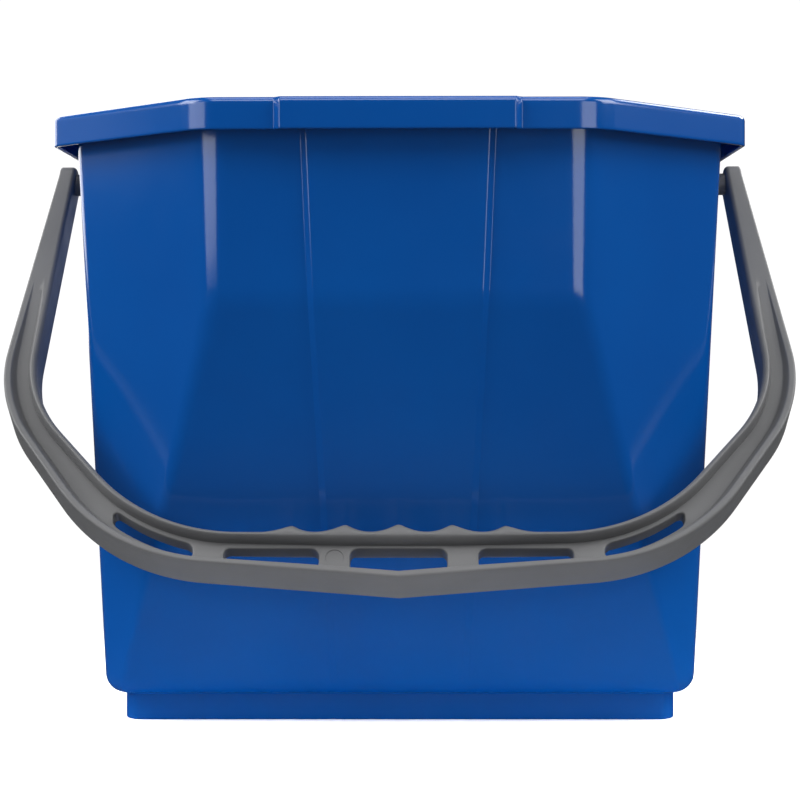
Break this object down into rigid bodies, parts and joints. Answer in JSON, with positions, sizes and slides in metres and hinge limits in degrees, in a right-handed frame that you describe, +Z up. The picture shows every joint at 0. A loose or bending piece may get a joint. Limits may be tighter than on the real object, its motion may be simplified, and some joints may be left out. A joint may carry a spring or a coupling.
{
  "type": "wash bucket",
  "caption": "Deep rectangular plastic wash bucket with chamfered corners, a turned-down rim and a swinging moulded bail handle with finger grips.",
  "frame": {"origin": "on the ground under the middle of the tub", "axes": "+X to the viewer's right along the tub's long side and the handle's pivot axis, +Y to the back, +Z up; the front is -Y, where the handle hangs at rest"},
  "size_m": [0.4284, 0.3516, 0.3278],
  "materials": {
    "blue_plastic": "glossy moulded polypropylene, mid blue",
    "grey_plastic": "satin moulded polypropylene, mid grey"
  },
  "bodies": {
    "tub": {"tub": "blue_plastic"},
    "handle": {"bail_handle": "grey_plastic"}
  },
  "joints": [
    {"name": "handle_swing", "type": "hinge", "parent": "tub", "child": "handle", "pos_m": [0, 0, 0.2976], "axis": [-1, 0, 0], "range_deg": [0, 291]}
  ]
}
